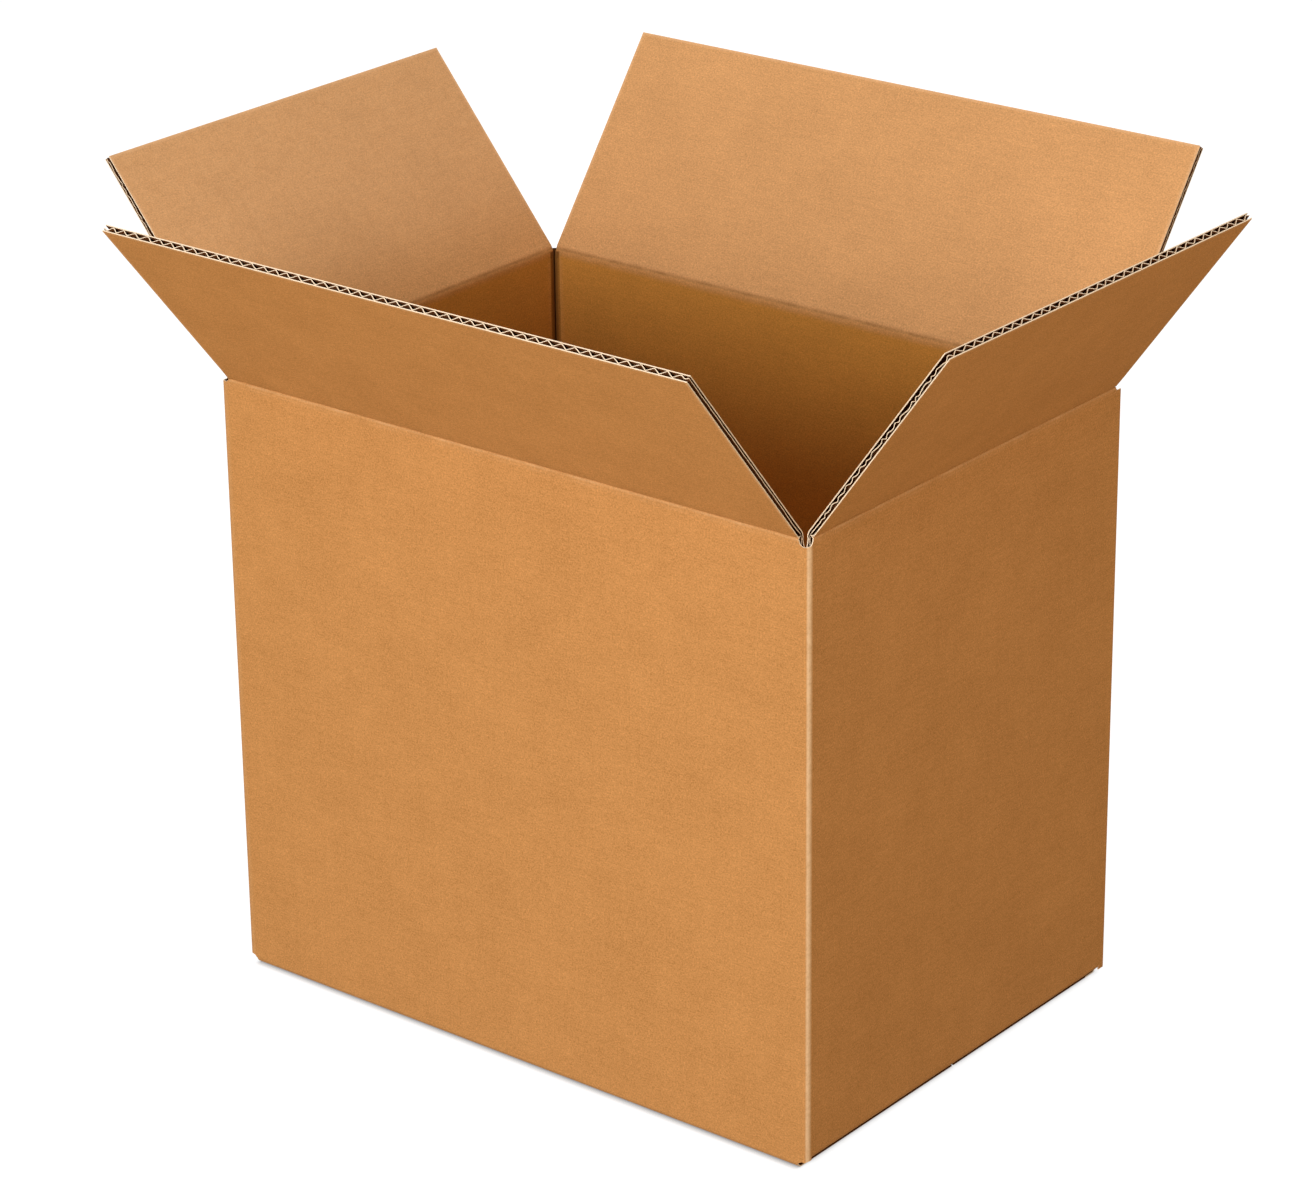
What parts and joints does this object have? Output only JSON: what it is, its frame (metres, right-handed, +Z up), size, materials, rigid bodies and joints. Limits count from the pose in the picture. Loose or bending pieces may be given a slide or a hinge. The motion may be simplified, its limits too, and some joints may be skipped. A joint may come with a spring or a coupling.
{
  "type": "open cardboard box",
  "caption": "Tall rectangular shipping carton in corrugated board, open at the top, with hinged closing flaps on all sides, a folded glued bottom and a glued side joint.",
  "frame": {"origin": "middle of the box's footprint, on the floor it stands on", "axes": "+X along the long walls, +Y from the front wall to the back wall, +Z up"},
  "size_m": [0.5385, 0.4337, 0.4482],
  "materials": {
    "kraft_board": "matt uncoated kraft paper"
  },
  "bodies": {
    "box": {"box_body": "kraft_board"},
    "front_flap": {"front_flap": "kraft_board"},
    "back_flap": {"back_flap": "kraft_board"},
    "left_flap": {"left_flap": "kraft_board"},
    "right_flap": {"right_flap": "kraft_board"}
  },
  "joints": [
    {"name": "front_flap_fold", "type": "hinge", "parent": "box", "child": "front_flap", "pos_m": [0, -0.1328, 0.34212], "axis": [1, 0, 0], "range_deg": [-129.4, 70.6]},
    {"name": "back_flap_fold", "type": "hinge", "parent": "box", "child": "back_flap", "pos_m": [0, 0.1328, 0.34212], "axis": [-1, 0, 0], "range_deg": [-127, 73]},
    {"name": "left_flap_fold", "type": "hinge", "parent": "box", "child": "left_flap", "pos_m": [-0.1878, 0, 0.33939], "axis": [0, -1, 0], "range_deg": [-129, 71]},
    {"name": "right_flap_fold", "type": "hinge", "parent": "box", "child": "right_flap", "pos_m": [0.1878, 0, 0.33939], "axis": [0, 1, 0], "range_deg": [-126, 74]}
  ]
}
